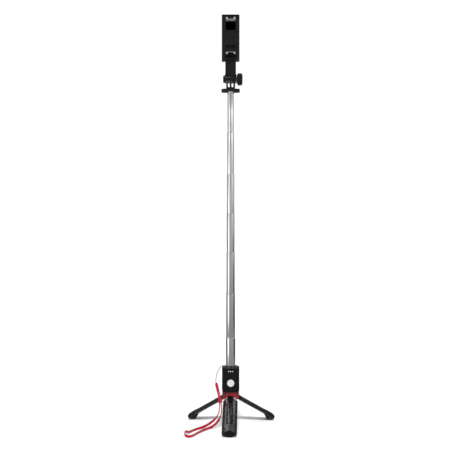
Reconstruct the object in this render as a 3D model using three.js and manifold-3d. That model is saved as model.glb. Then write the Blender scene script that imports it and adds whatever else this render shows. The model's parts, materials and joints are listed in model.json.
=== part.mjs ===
// A telescopic selfie stick standing on its own three fold-out legs: a phone clamp on a tilting
// three-prong hinge, a seven-section steel pole, a handle body with a slide-out shutter remote,
// a leg collar with three legs that fold into a round grip, and a wrist strap.
//
// Millimetres, +Z up along the pole, the clamp and the remote face -Y. The origin is on the floor,
// under the middle of the open legs. Rest pose: legs open, pole fully extended, clamp jaws out.

import * as THREE from 'three';
import { mergeVertices } from 'three/addons/utils/BufferGeometryUtils.js';
import Module from 'manifold-3d';

const wasm = await Module();
wasm.setup();

// ---------------------------------------------------------------- driving dimensions

const GAP = 0.3; // clearance between pieces that are fixed to each other
const PAST = 1; // how far a cutter runs past the face it cuts, and a joined solid into the other
const POLE_X = -1.13; // the pole's axis, from the middle of the footprint
const POLE_Y = 15.05;

const POLE = {
  tops: [560.5, 494, 423, 357, 291, 222, 148], // heights of the sections' upper ends
  bottoms: [483, 413, 340, 273, 205, 134, 59],
  firstRadius: 5.3, // the thinnest section, outside
  step: 0.425, // each section's radius over the one inside it
  wall: 0.22,
  mouthClearance: 0.05, // between a crimped mouth and the tube that slides in it
  crimpHeight: 1.4,
  sleeveHeight: 6,
  sleeveInside: 0.03, // from a tube to the friction sleeve around it
  sleeveOutside: 0.165,
  sides: 24,
};

const WHEEL = {
  bottom: 560.6, // of the lobes, which hang round the top of the pole
  floor: 561.9,
  top: 566.5,
  lobeCentre: 9.2,
  lobeX: 6.4,
  lobeY: 5,
  hub: 5.4,
  recess: 5.8,
};
const STUD = { radius: 3.1, fit: 0.1, top: 568.2, holeTop: 568.4, flangeTop: 561.6, plugLength: 9 };

const HINGE = {
  z: 583, // the tilt axis
  prong: 3, // thickness of a prong
  pitch: 6, // from prong to prong
  prongRadius: 5.7,
  webBottom: 566.9,
  webTop: 568.8,
  webCorner: 1.6,
  slot: 3.3,
  bore: 2.6,
  screw: 2.45,
};

const PRONG_XS = [-HINGE.pitch, 0, HINGE.pitch];

const NECK = { halfWidth: 8.95, halfDepth: 6.2, bottom: 589.6, top: 613.2, corner: 1.5 };
const FLUTE = { xs: [-6.8, 0, 6.8], half: 0.65, depth: 1, bottom: 591.2, top: 612 };
const NECK_SCREW = { y: 1.9, radius: 1.05, bore: 1.15, clearance: 1.35, bottom: 606.7, head: 2.3, headTop: 618.4 };
const BLOCK = { left: -10, right: 9.8, halfDepth: 7, bottom: 577, top: 590.2, slotTop: 589 };
const BOSS = { radius: 6, left: -12.7, pocketFloor: -10.5, nut: 4.4 };
const KNOB = {
  left: 10.2,
  right: 19.9,
  radius: 10.4,
  lobes: 9,
  lobeDepth: 0.9,
  stepsPerLobe: 6,
  collar: 7.2, // the smaller rounds at its inner and outer ends
  collarLength: 1.4,
  face: 8.4,
  faceLength: 1.2,
};
const SCREW_HEAD = { radius: 4, from: 11.1, to: 14.1 }; // moulded into the knob

const CLAMP = {
  halfWidth: 14.9,
  front: -6.5,
  back: 6.5,
  bottom: 613.5,
  seam: 661, // top of the lower body
  top: 690.5,
  corner: 2,
  coverCorner: 1.4,
  side: 1.6, // side walls
  floor: 3,
  cavityFront: -0.9,
  coverFront: 5,
};
const JAW = {
  y: -4.6, // both jaw axes
  upperZ: 680.8,
  lowerZ: 623,
  halfWidth: 7.9,
  length: 15.9,
  barrel: 1.8,
  rib: 3.1,
  plate: 0.9, // from the hinge axis to the plate's underside
  pin: 0.8,
  pinEnd: 9.9,
  pinBore: 0.85,
  pinBoreEnd: 10.2,
};
const JAW_PAD = { thick: 0.6, tab: 0.8, tabBottom: -1.3, back: -2.4 };
const RECESS = { halfWidth: 8.2, floor: -2.4, length: 18.6, clearance: 0.6 };
const LUG = { inner: 10.2, bottom: 654.6, back: 4.2 }; // the lower half's guides for the rods
const ROD = { x: 11.6, y: 1.7, radius: 1.1, bore: 1.18, bottom: 618, top: 680 };
const TONGUE = { halfWidth: 9.4, slot: 3.4, front: -0.5, back: 4.3, bottom: 620, web: 655.5 };
const SPRING = {
  y: 1.9,
  radius: 2.1,
  wire: 0.35,
  turns: 8,
  stepsPerTurn: 7,
  bottom: 621.4,
  top: 654.9,
  postRadius: 0.9, // the post in the lower half that holds its end
  postZ: 619.4,
  postBack: 3.4,
};

const BODY = {
  radius: 14.45, // the round back, and half the width
  front: -17.5,
  bottom: 58.6,
  capBottom: 97,
  top: 99,
  wall: 1.9,
  bore: 8.15,
  corner: 4,
  footCorner: 4.5,
};
const CHANNEL = { half: 13.1, lip: 12.3, back: -9, lipBack: -13.35, bottom: 60.5 };
const REMOTE = {
  half: 12,
  railHalf: 12.8,
  front: -17.9,
  split: -13.5,
  back: -9.3,
  bottom: 60.8,
  top: 98.8,
  wall: 1.2,
  corner: 3.2,
};
const BUTTON = { z: 74, radius: 6, hole: 6.1, flange: 6.6 };
const STRAP_HOLE = { x: -11.2, y: -5.5, radius: 1.1 };

const COLLAR = {
  radius: 14.2,
  edge: 0.5, // chamfer of the lower rim
  bottom: 48.5,
  top: 58.3,
  skirtBottom: 45.2, // the three skirts between the legs
  skirtInside: 10,
  notch: 8.5, // half the space between two skirts
  recess: 3.3, // for the screw's head
  recessTop: 51.5,
  bore: 1.7,
};
const LEG = {
  azimuths: [268, 28, 148], // front, right and left
  names: ['front', 'right', 'left'],
  slope: 30.4, // below the horizontal, when open
  pivotRadius: 12,
  pivotZ: 49.3,
  gripRadius: 14.25,
  inner: 7.2, // the flat inner face, from the grip's axis when folded
  start: 2.4, // along the leg from the pivot
  end: 62.6,
  tip: 81.4,
  heel: 76,
  heelTop: 71.8,
  toe: 4.5, // the toe's radius, seen from the side
  toeCorner: 3.4,
  pin: 1.1,
  pinBore: 1.15,
};
const KNUCKLE = { half: 4.2, radius: 2.9, slotHalf: 4.5, slotInner: -3.3, slotTop: 3.4 };
const PIN_HALF = 5.8;

// The strap's routes, chosen point by point: a hanging string, the doubled strand between the
// ferrule and the slider, and the open loop that lies on the floor. Places are from the pole's axis.
const STRING = { width: 1.2 };
const DOUBLE = { width: 3 };
const STRING_ROUTE = [
  [-11.2, -5.5, 97.4], [-11.2, -5.5, 99.4], [-11.6, -5.9, 101.0], [-13.0, -7.0, 101.6],
  [-15.2, -8.7, 101.0], [-17.8, -10.6, 98.6], [-20.6, -12.4, 94.8], [-22.6, -13.6, 90.4],
  [-24.0, -14.4, 85.0], [-24.6, -14.8, 80.0], [-24.5, -14.9, 75.2],
];
const FERRULE = { from: [-24.4, -14.9, 74.6], to: [-20.9, -15.6, 60.2], radius: 2.35 };
const DOUBLE_ROUTE = [[-20.8, -15.6, 59.8], [-20.1, -15.8, 56.6], [-19.2, -16.0, 53.4], [-18.4, -16.1, 50.7]];
const SLIDER = { from: [-18.3, -16.1, 50.3], to: [-17.2, -16.3, 41.5], width: 6.6, depth: 4.2 };
const LOOP = { width: 3 };
const LOOP_ROUTE = [
  [-18.7, -16.4, 41.0], [-18.5, -16.6, 34.9], [-19.6, -17.0, 26.7], [-22.9, -18.0, 19.1],
  [-27.6, -19.5, 13.6], [-34.2, -21.5, 8.7], [-41.1, -24.0, 5.2], [-48.1, -27.4, 3.1],
  [-56.1, -34.2, 2.3], [-62.7, -44.4, 2.3], [-66.8, -53.0, 2.6], [-69.8, -59.2, 4.4],
  [-72.0, -64.0, 6.0], [-73.6, -68.4, 5.9], [-73.2, -73.6, 4.2], [-70.2, -77.8, 2.6],
  [-65.3, -78.8, 2.3], [-60.2, -73.0, 2.3], [-54.0, -59.6, 2.3], [-46.4, -44.4, 2.3],
  [-37.4, -31.0, 2.5], [-29.3, -24.0, 4.7], [-22.2, -20.0, 10.1], [-17.6, -18.0, 17.4],
  [-15.5, -17.2, 25.6], [-15.3, -16.8, 33.8], [-16.2, -16.4, 41.0],
];

const rad = THREE.MathUtils.degToRad;

// ---------------------------------------------------------------- solids

/** A closed three.js geometry as a manifold-3d solid. */
function solid(geometry) {
  const bare = geometry.clone();
  bare.deleteAttribute('normal');
  bare.deleteAttribute('uv');
  const merged = mergeVertices(bare, 1e-4);
  const index = merged.index.array;
  const kept = [];
  for (let i = 0; i < index.length; i += 3) {
    const [a, b, c] = [index[i], index[i + 1], index[i + 2]];
    if (a !== b && b !== c && c !== a) kept.push(a, b, c);
  }
  return new wasm.Manifold(
    new wasm.Mesh({
      numProp: 3,
      vertProperties: new Float32Array(merged.attributes.position.array),
      triVerts: new Uint32Array(kept),
    }),
  );
}

/** A solid's surface as a geometry with flat faces. */
function surface(body) {
  const mesh = body.getMesh();
  const geometry = new THREE.BufferGeometry();
  geometry.setAttribute('position', new THREE.BufferAttribute(mesh.vertProperties, 3));
  geometry.setIndex(new THREE.BufferAttribute(mesh.triVerts, 1));
  geometry.computeVertexNormals();
  return geometry;
}

/** A block between two corners. */
function block(low, high) {
  const geometry = new THREE.BoxGeometry(high[0] - low[0], high[1] - low[1], high[2] - low[2]);
  geometry.translate((low[0] + high[0]) / 2, (low[1] + high[1]) / 2, (low[2] + high[2]) / 2);
  return solid(geometry);
}

/** A round bar along X, Y or Z from one place on that axis to another, centred on `at` across it. */
function bar(axis, radius, from, to, at = [0, 0], sides = 16) {
  const geometry = new THREE.CylinderGeometry(radius, radius, to - from, sides);
  const middle = (from + to) / 2;
  if (axis === 'x') geometry.rotateZ(Math.PI / 2).translate(middle, at[0], at[1]);
  if (axis === 'y') geometry.translate(at[0], middle, at[1]);
  if (axis === 'z') geometry.rotateX(Math.PI / 2).translate(at[0], at[1], middle);
  return solid(geometry);
}

/** A profile of [radius, height] points, anticlockwise, turned about the Z axis. */
function turned(profile, sides = POLE.sides) {
  const points = profile.map(([r, z]) => new THREE.Vector2(r, z));
  points.push(points[0].clone());
  return solid(new THREE.LatheGeometry(points, sides).rotateX(Math.PI / 2));
}

/** An outline in X and Y raised from one height to another. */
function raised(shape, from, to, curveSegments = 6) {
  const geometry = new THREE.ExtrudeGeometry(shape, { depth: to - from, bevelEnabled: false, curveSegments });
  return solid(geometry.translate(0, 0, from));
}

/** An outline whose coordinates are Y and Z, carried along X. */
function acrossX(shape, from, to, curveSegments = 6) {
  const geometry = new THREE.ExtrudeGeometry(shape, { depth: to - from, bevelEnabled: false, curveSegments });
  geometry.applyMatrix4(new THREE.Matrix4().set(0, 0, 1, from, 1, 0, 0, 0, 0, 1, 0, 0, 0, 0, 0, 1));
  return solid(geometry);
}

/** An outline whose coordinates are X and Z, carried along Y. */
function acrossY(shape, from, to, curveSegments = 6) {
  const geometry = new THREE.ExtrudeGeometry(shape, { depth: to - from, bevelEnabled: false, curveSegments });
  geometry.applyMatrix4(new THREE.Matrix4().set(1, 0, 0, 0, 0, 0, -1, to, 0, 1, 0, 0, 0, 0, 0, 1));
  return solid(geometry);
}

/** A rectangle with a radius at each corner: lower left, lower right, upper right, upper left. */
function roundedRectangle(x0, y0, x1, y1, radii) {
  const [a, b, c, d] = Array.isArray(radii) ? radii : [radii, radii, radii, radii];
  const shape = new THREE.Shape();
  shape.moveTo(x0 + a, y0);
  shape.lineTo(x1 - b, y0);
  if (b) shape.absarc(x1 - b, y0 + b, b, -Math.PI / 2, 0, false);
  shape.lineTo(x1, y1 - c);
  if (c) shape.absarc(x1 - c, y1 - c, c, 0, Math.PI / 2, false);
  shape.lineTo(x0 + d, y1);
  if (d) shape.absarc(x0 + d, y1 - d, d, Math.PI / 2, Math.PI, false);
  shape.lineTo(x0, y0 + a);
  if (a) shape.absarc(x0 + a, y0 + a, a, Math.PI, 1.5 * Math.PI, false);
  return shape;
}

/** A tube of constant section along hand-placed points. */
function tubeAlong(route, section, stepsPerPoint) {
  const path = new THREE.CatmullRomCurve3(route.map((p) => new THREE.Vector3(...p)), false, 'centripetal');
  return solid(
    new THREE.ExtrudeGeometry(section, {
      steps: Math.round((route.length - 1) * stepsPerPoint),
      bevelEnabled: false,
      extrudePath: path,
      curveSegments: 2,
    }),
  );
}

/** A many-sided round section. */
function roundSection(width, sides = 8) {
  const points = [];
  for (let i = 0; i < sides; i += 1) {
    const a = ((i + 0.5) / sides) * 2 * Math.PI;
    points.push(new THREE.Vector2((width / 2) * Math.cos(a), (width / 2) * Math.sin(a)));
  }
  return new THREE.Shape(points);
}

/** A copy of a solid, centred on the middle of a straight line and lying along it. */
function between(from, to, make) {
  const [a, b] = [new THREE.Vector3(...from), new THREE.Vector3(...to)];
  const geometry = surface(make(a.distanceTo(b)));
  const frame = new THREE.Group();
  frame.position.copy(a);
  frame.quaternion.setFromUnitVectors(new THREE.Vector3(0, 0, 1), b.clone().sub(a).normalize());
  return { geometry, frame };
}

// ---------------------------------------------------------------- materials

const steel = () => new THREE.MeshStandardMaterial({ color: 0xd9d9da, roughness: 0.18, metalness: 1 });
const zinc = () => new THREE.MeshStandardMaterial({ color: 0xa9abae, roughness: 0.35, metalness: 1 });
const brass = () => new THREE.MeshStandardMaterial({ color: 0xb99445, roughness: 0.35, metalness: 1 });
const black = () => new THREE.MeshStandardMaterial({ color: 0x141415, roughness: 0.45, metalness: 0 });
const grey = () => new THREE.MeshStandardMaterial({ color: 0x3a3b3d, roughness: 0.6, metalness: 0 });
const rubber = () => new THREE.MeshStandardMaterial({ color: 0x121212, roughness: 0.8, metalness: 0 });
const red = () => new THREE.MeshStandardMaterial({ color: 0xa80f1c, roughness: 0.3, metalness: 0 });
const white = () => new THREE.MeshStandardMaterial({ color: 0xf2f2f2, roughness: 0.35, metalness: 0 });
const green = () => new THREE.MeshStandardMaterial({ color: 0x0f5a34, roughness: 0.5, metalness: 0 });
const webbing = () => new THREE.MeshStandardMaterial({ color: 0xd01e3c, roughness: 0.85, metalness: 0 });
const cordGrey = () => new THREE.MeshStandardMaterial({ color: 0xb6848c, roughness: 0.85, metalness: 0 });

const stick = new THREE.Group();
stick.position.set(POLE_X, POLE_Y, 0);

/** Adds one named piece, from a solid, to the stick or to a group inside it. */
function piece(name, body, material, parent = stick) {
  const mesh = new THREE.Mesh(surface(body), material);
  mesh.name = name;
  parent.add(mesh);
  return mesh;
}

// ---------------------------------------------------------------- pole

const sectionRadius = (i) => POLE.firstRadius + i * POLE.step;

/** One thin-walled tube. All but the thinnest are crimped in at the mouth around the next one. */
function addSection(i) {
  const outside = sectionRadius(i);
  const inside = outside - POLE.wall;
  const height = POLE.tops[i] - POLE.bottoms[i];
  const profile = [[inside, 0], [outside, 0]];
  if (i === 0) {
    profile.push([outside, height], [inside, height]);
  } else {
    const mouth = sectionRadius(i - 1) + POLE.mouthClearance;
    const shoulder = height - POLE.crimpHeight;
    const neck = shoulder + 0.5;
    profile.push([outside, shoulder], [mouth + POLE.wall, neck], [mouth + POLE.wall, height]);
    profile.push([mouth, height], [mouth, neck], [inside, shoulder]);
  }
  piece(`pole_section_${i + 1}`, turned(profile), steel()).position.z = POLE.bottoms[i];
}

/** The spring sleeve on a section's lower end, which the next section's crimped mouth holds back. */
function addSleeve(i) {
  const inner = sectionRadius(i) + POLE.sleeveInside;
  const outer = sectionRadius(i) + POLE.sleeveOutside;
  const height = POLE.sleeveHeight;
  const top = POLE.tops[i + 1] - POLE.crimpHeight - GAP;
  const sleeve = turned([[inner, 0], [outer, 0], [outer, height], [inner, height]]);
  piece(`friction_sleeve_${i + 1}`, sleeve, brass()).position.z = top - height;
}

/** The turned plug in the top of the thinnest section, with the threaded stud that carries the head. */
function addTopStud() {
  const plug = sectionRadius(0) - POLE.wall - 0.05;
  const plugBottom = POLE.tops[0] - STUD.plugLength;
  const flangeBottom = POLE.tops[0] + GAP;
  const profile = [
    [0, plugBottom], [plug, plugBottom], [plug, flangeBottom], [POLE.firstRadius, flangeBottom],
    [POLE.firstRadius, STUD.flangeTop], [STUD.radius, STUD.flangeTop], [STUD.radius, STUD.top], [0, STUD.top],
  ];
  piece('top_stud', turned(profile), zinc());
}

/** The plug that closes the widest section's lower end and takes the hub screw. */
function addRootPlug() {
  const radius = sectionRadius(6) - POLE.wall - 0.05;
  const [low, high] = [POLE.bottoms[6] - 0.4, POLE.bottoms[6] + 2.6];
  piece('root_plug', turned([[1.6, low], [radius, low], [radius, high], [1.6, high]]), grey());
}

// ---------------------------------------------------------------- head

/** The two-lobed thumb wheel that locks the head on its stud. */
function addLockWheel() {
  let wheel = bar('z', WHEEL.hub, WHEEL.floor, WHEEL.top, [0, 0], 24);
  for (const side of [-1, 1]) {
    const lobe = new THREE.Shape();
    lobe.absellipse(side * WHEEL.lobeCentre, 0, WHEEL.lobeX, WHEEL.lobeY, 0, 2 * Math.PI, false, 0);
    wheel = wheel.add(raised(lobe, WHEEL.bottom, WHEEL.top, 12));
  }
  wheel = wheel.subtract(bar('z', WHEEL.recess, WHEEL.bottom - PAST, WHEEL.floor, [0, 0], 24));
  wheel = wheel.subtract(bar('z', STUD.radius + STUD.fit, WHEEL.bottom - PAST, WHEEL.top + PAST, [0, 0], 24));
  piece('lock_wheel', wheel, black());
}

/** The lower half of the tilt hinge: three prongs rising from a round-bottomed web. */
function addProngBase() {
  const reach = HINGE.pitch + HINGE.prong / 2;
  const { webBottom, webTop, webCorner } = HINGE;
  const web = roundedRectangle(-reach, webBottom, reach, webTop, [webCorner, webCorner, 0, 0]);
  let base = acrossY(web, -HINGE.prongRadius, HINGE.prongRadius, 4);
  for (const x of PRONG_XS) {
    const prong = new THREE.Shape();
    prong.moveTo(-HINGE.prongRadius, HINGE.webTop - PAST);
    prong.lineTo(HINGE.prongRadius, HINGE.webTop - PAST);
    prong.absarc(0, HINGE.z, HINGE.prongRadius, 0, Math.PI, false);
    base = base.add(acrossX(prong, x - HINGE.prong / 2, x + HINGE.prong / 2, 8));
  }
  base = base.subtract(bar('x', HINGE.bore, -reach - PAST, reach + PAST, [0, HINGE.z]));
  base = base.subtract(bar('z', STUD.radius + STUD.fit, HINGE.webBottom - PAST, STUD.holeTop, [0, 0], 24));
  piece('three_prong_base', base, black());
}

/** The upper half of the tilt hinge and the fluted neck under the clamp, moulded as one. */
function addClampNeck() {
  const { halfWidth, halfDepth, bottom, top, corner } = NECK;
  const outline = roundedRectangle(BLOCK.left, -BLOCK.halfDepth, BLOCK.right, BLOCK.halfDepth, corner);
  let neck = raised(outline, BLOCK.bottom, BLOCK.top, 3);
  neck = neck.add(bar('x', BOSS.radius, BOSS.left, BLOCK.left + PAST, [0, HINGE.z], 20));
  neck = neck.add(raised(roundedRectangle(-halfWidth, -halfDepth, halfWidth, halfDepth, corner), bottom, top, 3));
  const through = BLOCK.halfDepth + PAST;
  for (const x of PRONG_XS) {
    const half = HINGE.slot / 2;
    neck = neck.subtract(block([x - half, -through, BLOCK.bottom - PAST], [x + half, through, BLOCK.slotTop]));
  }
  for (const x of FLUTE.xs) {
    for (const side of [-1, 1]) {
      const [near, far] = [side * (halfDepth - FLUTE.depth), side * through].sort((a, b) => a - b);
      neck = neck.subtract(block([x - FLUTE.half, near, FLUTE.bottom], [x + FLUTE.half, far, FLUTE.top]));
    }
  }
  neck = neck.subtract(bar('x', HINGE.bore, BOSS.left - PAST, BLOCK.right + PAST, [0, HINGE.z]));
  neck = neck.subtract(bar('x', BOSS.nut + GAP, BOSS.left - PAST, BOSS.pocketFloor, [0, HINGE.z], 6));
  neck = neck.subtract(bar('z', NECK_SCREW.bore, NECK_SCREW.bottom - GAP, top + PAST, [0, NECK_SCREW.y]));
  piece('clamp_neck', neck, black());
}

/** The hex nut in the hinge's left boss, and the screw that the knob turns. */
function addHingeFasteners() {
  const inset = 0.1;
  const nut = bar('x', BOSS.nut, BOSS.left + inset, BOSS.pocketFloor - GAP, [0, HINGE.z], 6);
  const bore = bar('x', HINGE.bore, BOSS.left - PAST, BOSS.pocketFloor + PAST, [0, HINGE.z]);
  piece('hinge_nut', nut.subtract(bore), zinc());
  const shank = bar('x', HINGE.screw, BOSS.left + GAP + inset, SCREW_HEAD.from + GAP, [0, HINGE.z]);
  const head = bar('x', SCREW_HEAD.radius, SCREW_HEAD.from, SCREW_HEAD.to, [0, HINGE.z], 6);
  piece('hinge_screw', shank.add(head), zinc());
}

/** The gripped thumb knob, moulded over the screw's head. */
function addThumbKnob() {
  const { left, right, radius, lobes, lobeDepth, stepsPerLobe, collar, collarLength, face, faceLength } = KNOB;
  const outline = new THREE.Shape();
  const steps = lobes * stepsPerLobe;
  for (let i = 0; i < steps; i += 1) {
    const a = (i / steps) * 2 * Math.PI;
    const r = radius - lobeDepth * (0.5 - 0.5 * Math.cos(lobes * a));
    const [y, z] = [r * Math.cos(a), HINGE.z + r * Math.sin(a)];
    if (i) outline.lineTo(y, z);
    else outline.moveTo(y, z);
  }
  let knob = acrossX(outline, left + collarLength, right - faceLength);
  knob = knob.add(bar('x', collar, left, left + collarLength + PAST, [0, HINGE.z], 24));
  knob = knob.add(bar('x', face, right - faceLength - PAST, right, [0, HINGE.z], 24));
  const { radius: head, from, to } = SCREW_HEAD;
  knob = knob.subtract(bar('x', head + GAP, from - GAP, to + GAP, [0, HINGE.z], 6));
  knob = knob.subtract(bar('x', HINGE.bore + 0.2, left - PAST, left + PAST, [0, HINGE.z]));
  piece('thumb_knob', knob, black());
}

// ---------------------------------------------------------------- phone clamp

/** The clamp's plan from its front to a flat or a rounded back. */
function clampOutline(back, backCorner) {
  const { halfWidth, front, corner } = CLAMP;
  return roundedRectangle(-halfWidth, front, halfWidth, back, [corner, corner, backCorner, backCorner]);
}

/** The pocket in the clamp's front that a jaw folds into, between two heights. */
function jawRecess(from, to) {
  return block([-RECESS.halfWidth, CLAMP.front - PAST, from], [RECESS.halfWidth, RECESS.floor, to]);
}

/** The hollow lower half of the clamp: jaw recess in front, cavity for the carriage's tongue behind. */
function addClampBody() {
  const { halfWidth, bottom, seam, side: wall, cavityFront, coverFront, floor } = CLAMP;
  const inner = halfWidth - wall;
  let body = raised(clampOutline(coverFront - GAP, 0), bottom, seam, 3);
  body = body.subtract(block([-inner, cavityFront, bottom + floor], [inner, coverFront + PAST, seam + PAST]));
  const recessBottom = JAW.lowerZ - JAW.barrel - RECESS.clearance;
  body = body.subtract(jawRecess(recessBottom, recessBottom + RECESS.length));
  for (const side of [-1, 1]) {
    const [near, far] = [side * LUG.inner, side * (inner + GAP)].sort((a, b) => a - b);
    body = body.add(block([near, cavityFront - GAP, LUG.bottom], [far, LUG.back, seam - GAP]));
    body = body.subtract(bar('z', ROD.bore, LUG.bottom - PAST, seam + PAST, [side * ROD.x, ROD.y]));
  }
  body = body.add(bar('y', SPRING.postRadius, cavityFront - GAP, SPRING.postBack, [0, SPRING.postZ], 10));
  body = body.subtract(bar('x', JAW.pinBore, -JAW.pinBoreEnd, JAW.pinBoreEnd, [JAW.y, JAW.lowerZ]));
  body = body.subtract(bar('z', NECK_SCREW.clearance, bottom - PAST, bottom + floor + PAST, [0, NECK_SCREW.y]));
  piece('clamp_body', body, black());
}

/** The plate that closes the lower half's back. */
function addClampCover() {
  const { halfWidth, coverFront, back, coverCorner } = CLAMP;
  const outline = roundedRectangle(-halfWidth, coverFront, halfWidth, back, [0, 0, coverCorner, coverCorner]);
  piece('clamp_back_cover', raised(outline, CLAMP.bottom, CLAMP.seam, 2), black());
}

/** The screw that holds the clamp down on its neck. */
function addNeckScrew() {
  const { y, radius, bottom, head, headTop } = NECK_SCREW;
  const seat = CLAMP.bottom + CLAMP.floor + GAP;
  const shank = bar('z', radius, bottom, seat + GAP, [0, y]);
  piece('neck_screw', shank.add(bar('z', head, seat, headTop, [0, y], 12)), zinc());
}

/** The sliding upper half, with a two-legged tongue that runs down inside the lower half. */
function addCarriage() {
  const bottom = CLAMP.seam + GAP;
  let carriage = raised(clampOutline(CLAMP.back, CLAMP.corner), bottom, CLAMP.top, 3);
  const recessTop = JAW.upperZ + JAW.barrel + RECESS.clearance;
  carriage = carriage.subtract(jawRecess(recessTop - RECESS.length, recessTop));
  const { halfWidth, slot, front, back } = TONGUE;
  carriage = carriage.add(block([-halfWidth, front, TONGUE.bottom], [halfWidth, back, bottom + PAST]));
  const slotLow = [-slot, front - PAST, TONGUE.bottom - PAST];
  carriage = carriage.subtract(block(slotLow, [slot, back + PAST, TONGUE.web]));
  for (const side of [-1, 1]) {
    carriage = carriage.subtract(bar('z', ROD.bore, bottom - PAST, ROD.top + GAP, [side * ROD.x, ROD.y]));
  }
  carriage = carriage.subtract(bar('x', JAW.pinBore, -JAW.pinBoreEnd, JAW.pinBoreEnd, [JAW.y, JAW.upperZ]));
  piece('clamp_carriage', carriage, black());
}

/** The two steel rods that keep the carriage straight, fixed in it and sliding in the lower half. */
function addGuideRods() {
  for (const [name, side] of [['left', -1], ['right', 1]]) {
    piece(`guide_rod_${name}`, bar('z', ROD.radius, ROD.bottom, ROD.top, [side * ROD.x, ROD.y]), steel());
  }
}

/** The tension spring between the legs of the tongue, which pulls the carriage down. */
function addClampSpring() {
  const steps = SPRING.turns * SPRING.stepsPerTurn;
  const route = [];
  for (let i = 0; i <= steps; i += 1) {
    const a = (i / SPRING.stepsPerTurn) * 2 * Math.PI;
    const z = SPRING.bottom + ((SPRING.top - SPRING.bottom) * i) / steps;
    route.push([SPRING.radius * Math.cos(a), SPRING.y + SPRING.radius * Math.sin(a), z]);
  }
  piece('clamp_spring', tubeAlong(route, roundSection(2 * SPRING.wire, 5), 1), steel());
}

/** A flip-out jaw about its own hinge axis: contact side down, two ribs above, pointing to the front. */
function jawSolid() {
  const { halfWidth, length, barrel, rib, plate } = JAW;
  const tip = JAW_PAD.tab + GAP - length;
  let jaw = bar('x', barrel, -halfWidth, halfWidth, [0, 0]);
  jaw = jaw.add(block([-halfWidth, tip, -plate], [halfWidth, 0, 0.2]));
  for (const x of [-halfWidth, halfWidth - rib]) {
    jaw = jaw.add(block([x, tip, -0.5], [x + rib, -2, barrel]));
  }
  return jaw.subtract(bar('x', JAW.pinBore, -halfWidth - PAST, halfWidth + PAST, [0, 0]));
}

/** The rubber pad under a jaw, with two tabs that wrap round the tip over the ribs' ends. */
function padSolid() {
  const { halfWidth, length, barrel, rib, plate } = JAW;
  const { thick, tab, tabBottom, back } = JAW_PAD;
  let pad = block([-halfWidth, -length, -plate - GAP - thick], [halfWidth, back, -plate - GAP]);
  for (const x of [-halfWidth, halfWidth - rib]) {
    pad = pad.add(block([x, -length, tabBottom], [x + rib, tab - length, barrel]));
  }
  return pad;
}

/** A jaw with its rubber pad and its pin; the lower one is the upper one turned over. */
function addJaw(name, z, turn) {
  const hinge = new THREE.Group();
  hinge.position.set(0, JAW.y, z);
  hinge.rotation.y = turn;
  stick.add(hinge);
  piece(`${name}_jaw`, jawSolid(), black(), hinge);
  piece(`${name}_jaw_pad`, padSolid(), grey(), hinge);
  piece(`${name}_jaw_pin`, bar('x', JAW.pin, -JAW.pinEnd, JAW.pinEnd, [0, 0]), steel(), hinge);
}

// ---------------------------------------------------------------- handle body

/** The body's plan: a flat front with round corners and a round back. */
function bodyOutline() {
  const { radius, front, corner } = BODY;
  const shape = new THREE.Shape();
  shape.moveTo(corner - radius, front);
  shape.lineTo(radius - corner, front);
  shape.absarc(radius - corner, front + corner, corner, -Math.PI / 2, 0, false);
  shape.lineTo(radius, 0);
  shape.absarc(0, 0, radius, 0, Math.PI, false);
  shape.lineTo(-radius, front + corner);
  shape.absarc(corner - radius, front + corner, corner, Math.PI, 1.5 * Math.PI, false);
  return shape;
}

/** The space that the remote slides in: open to the front and the top, wider behind its lips. */
function remoteChannel() {
  const { half, lip, back, lipBack, bottom } = CHANNEL;
  const wide = block([-half, lipBack, bottom], [half, back, BODY.top + 1]);
  return wide.add(block([-lip, BODY.front - 1, bottom], [lip, lipBack + 0.1, BODY.top + 1]));
}

/** The body between two heights, with its lower corners rounded as seen from the front. */
function bodyMass() {
  const { radius, bottom, capBottom, footCorner } = BODY;
  const corners = [footCorner, footCorner, 0, 0];
  const side = roundedRectangle(-radius, bottom, radius, capBottom - GAP, corners);
  const mass = raised(bodyOutline(), bottom, capBottom - GAP, 8).intersect(acrossY(side, -20, 20, 4));
  return mass.subtract(bar('z', BODY.bore, 50, 100, [0, 0], POLE.sides));
}

/** The front and rear shells, parted through the pole's axis. */
function addShells() {
  const { radius, wall, bore, bottom, capBottom } = BODY;
  const front = bodyMass().intersect(block([-20, -20, 50], [20, -GAP / 2, 100]));
  piece('front_shell', front.subtract(remoteChannel()), black());
  let rear = bodyMass().intersect(block([-20, GAP / 2, 50], [20, 20, 100]));
  const hollow = bar('z', radius - wall, bottom + 6, capBottom - 2.3, [0, 0], 24)
    .subtract(bar('z', bore + 1.3, 50, 100, [0, 0], POLE.sides))
    .intersect(block([-20, -1, 50], [20, 20, 100]));
  rear = rear.subtract(hollow);
  piece('rear_shell', rear, black());
}

/** The cap around the pole on top of the shells, with the hole that the strap is tied through. */
function addTopCap() {
  let cap = raised(bodyOutline(), BODY.capBottom, BODY.top, 8);
  cap = cap.subtract(bar('z', BODY.bore, 90, 100, [0, 0], POLE.sides)).subtract(remoteChannel());
  cap = cap.subtract(bar('z', STRAP_HOLE.radius, 90, 100, [STRAP_HOLE.x, STRAP_HOLE.y], 12));
  piece('top_cap', cap.intersect(block([-20, CHANNEL.back + 0.4, 90], [20, 20, 100])), black());
}

// ---------------------------------------------------------------- remote

/** The remote's outline from the front, `inset` smaller all round. */
function remoteOutline(half, inset) {
  const { bottom, top, corner } = REMOTE;
  return roundedRectangle(-half + inset, bottom + inset, half - inset, top - inset, corner - inset);
}

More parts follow.
